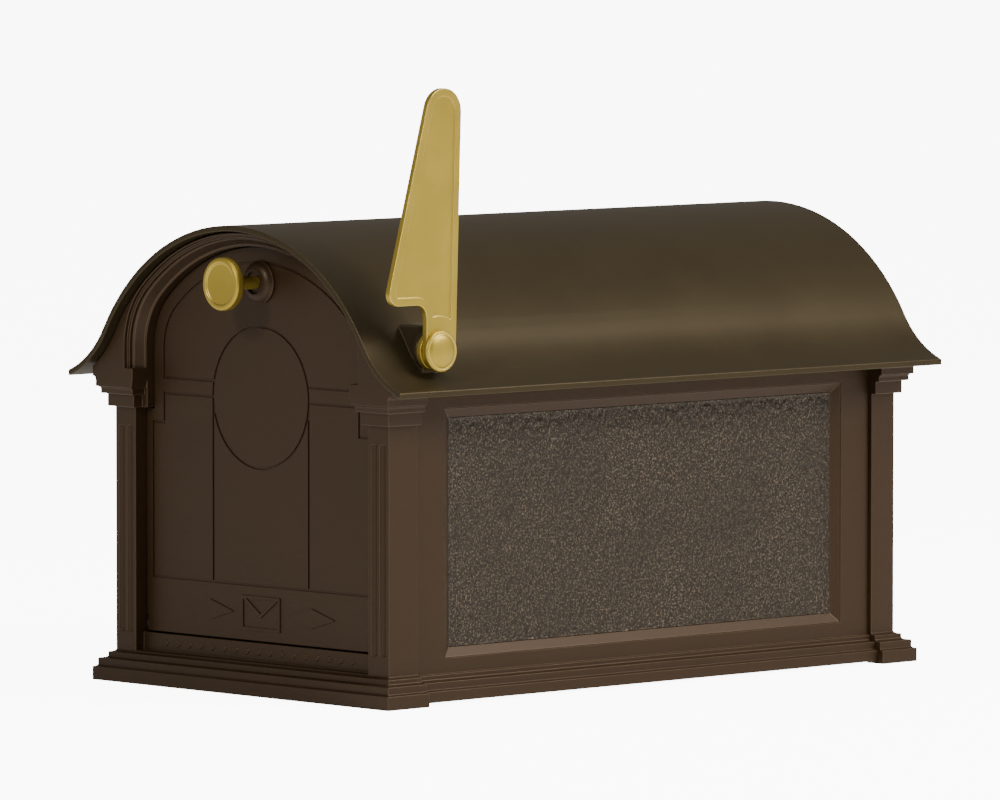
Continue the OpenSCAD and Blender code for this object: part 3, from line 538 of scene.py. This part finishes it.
bronze_roof = powder_coat("bronze_roof", ROOF_DARK, ROOF_LIGHT, ROOF_ARRIS_RUB_HIGHLIGHT, ROOF_ROUGH, ROOF_SHINE)
BOSS_FILLET = 0.0035
BOSS_REACH = 0.02
FLARE_START = 0.1
INSIDE_CORNER = -0.3
FLARE_OUTWARD = 0.3
FLARE_ALONG = 0.1
FLARE_SLOPE = 0.05

roof = welded("roof_shell")
bolt_low, bolt_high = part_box("flag_pivot_bolt")
pivot_y = (bolt_low[1] + bolt_high[1]) / 2


def is_flare(face):
    """Whether a face of the roof leans outwards as the right flare does."""
    lean = face.normal
    return lean.x > FLARE_OUTWARD and abs(lean.y) < FLARE_ALONG and abs(lean.z) > FLARE_SLOPE


foot_of_boss = [
    e for e in roof.edges
    if e.is_manifold and e.calc_face_angle_signed() < INSIDE_CORNER
    and all(abs(v.co.y - pivot_y) < BOSS_REACH and v.co.x > FLARE_START for v in e.verts)
    and any(is_flare(f) for f in e.link_faces)]
bmesh.ops.bevel(
    roof, geom=foot_of_boss, offset=BOSS_FILLET, segments=4, profile=0.5, affect="EDGES", clamp_overlap=True)
place(roof, "roof_shell_piece", bronze_roof, "roof_shell", eased=ROOF_EASE, segments=3)


# ---- Screws and rivets ----
# Zinc-plated pan-head screws with a cross recess, all of one pattern in two sizes, and the
# two rivets of the strike plate, which are plated too. All are driven from inside.

ZINC_DULL = (0.42, 0.43, 0.45)
ZINC_PALE = (0.66, 0.66, 0.63)
SCREW_EASE = 0.00015


def zinc():
    material, wire, shader = finish_of("zinc_steel", {"Specular IOR Level": 0.5})
    spot = wire.node("TexCoord", {}, {}, "Object")
    bloom = noise(wire, 260, 3, spot)
    scratch = noise(wire, 3000, 1, spot)
    plug(blend(wire, bloom, ZINC_DULL, ZINC_PALE), shader, "Base Color")
    plug(0.28 + bloom * 0.14 + scratch * 0.1, shader, "Roughness")
    plug(0.9 + bloom * 0.1, shader, "Metallic")
    plug(relief(wire, scratch, 0.00001), shader, "Normal")
    return material


zinc_steel = zinc()
for node in ("floor_screws", "plaque_screws", "rear_panel_screws", "frame_screws", "roof_screws",
             "magnet_screws", "strike_rivets"):
    casting(node, zinc_steel, eased=SCREW_EASE)


# ---- Hinge ----
# Two steel pins through the jambs carry the door on nylon bushes pressed into its barrel.


def moulded(name, dark, light, rough):
    material, wire, shader = finish_of(name, {"Specular IOR Level": 0.45})
    spot = wire.node("TexCoord", {}, {}, "Object")
    cloud = noise(wire, 120, 2, spot)
    grain = noise(wire, 2400, 1, spot)
    plug(blend(wire, cloud, dark, light), shader, "Base Color")
    plug(rough + (grain - 0.5) * 0.15, shader, "Roughness")
    plug(relief(wire, grain, 0.00002), shader, "Normal")
    return material


nylon = moulded("nylon", (0.022, 0.022, 0.022), (0.04, 0.04, 0.038), 0.5)
for side in ("right", "left"):
    casting("hinge_pin_" + side, zinc_steel, eased=0.0003)
    casting("hinge_bush_" + side, nylon, eased=0.0002)


# ---- Door ----
# A thin arched casting with scored panels, a round medallion and a plain relief on its foot.
# It hangs on its bottom edge and drops forward. Its arrises stay sharp, because easing them
# folds a face over at the tip of a lozenge on the foot.

casting("door_panel", eased=0.0)


# ---- Knob ----
# Turned brass with a dished face, satin lacquered, on a cast rosette. A nut holds it from
# inside the door.

BRASS_DEEP = (0.36, 0.262, 0.036)
BRASS_PALE = (0.47, 0.355, 0.060)
BRASS_ARRIS_HIGHLIGHT = (0.70, 0.55, 0.13)


def satin_brass():
    material, wire, shader = finish_of("satin_brass", {
        "Specular IOR Level": 0.5, "Coat Roughness": 0.25, "Coat Weight": 0.04})
    spot = wire.node("TexCoord", {}, {}, "Object")
    cloud = noise(wire, 45, 3, spot)
    grain = noise(wire, 1500, 2, spot)
    edge = wire.node("Attribute", {"attribute_name": "arris"}, {}, "Fac")
    tone = blend(wire, cloud * 0.75 + grain * 0.25, BRASS_DEEP, BRASS_PALE)
    # The arrises are painted paler brass: a painted highlight along the edges.
    arris_highlit = wire.node("Mix", {"data_type": "RGBA"}, {0: edge * 0.6, 6: tone, 7: (*BRASS_ARRIS_HIGHLIGHT, 1)}, 2)
    plug(arris_highlit, shader, "Base Color")
    plug(0.40 + cloud * 0.08 + (grain - 0.5) * 0.14 - edge * 0.08, shader, "Roughness")
    plug(0.76 + grain * 0.16, shader, "Metallic")
    plug(relief(wire, grain, 0.00003), shader, "Normal")
    return material


brass = satin_brass()
casting("door_knob", brass, eased=0.0003)
casting("knob_rosette", eased=0.0003)
casting("knob_nut", zinc_steel, eased=0.0003)


# ---- Door catch and bumpers ----
# A steel plate riveted to the door meets a ferrite magnet on a screwed bracket, and two
# rubber buttons quiet the door.

ferrite = moulded("magnet_black", (0.035, 0.034, 0.034), (0.06, 0.058, 0.056), 0.62)
rubber = moulded("black_rubber", (0.014, 0.014, 0.014), (0.026, 0.025, 0.024), 0.78)
casting("strike_plate", zinc_steel, eased=0.0002)
casting("door_magnet", ferrite, eased=0.0004)
casting("magnet_bracket", zinc_steel, eased=0.0002)
casting("door_bumpers", rubber, eased=0.0003)


# ---- Flag ----
# A brass blade with a raised rim turns on a nylon bush round a shoulder bolt. A brass disc
# keeps it off the roof's boss, and a lock nut inside holds a wave washer in tension.

casting("flag_blade", brass, eased=0.0005, segments=3)
casting("flag_spacer", brass, eased=0.0004)
casting("flag_pivot_bolt", brass, eased=0.0004)
casting("flag_bush", nylon, eased=0.0002)
for node in ("flag_wave_washer", "flag_washer", "flag_lock_nut"):
    casting(node, zinc_steel, eased=0.00012)
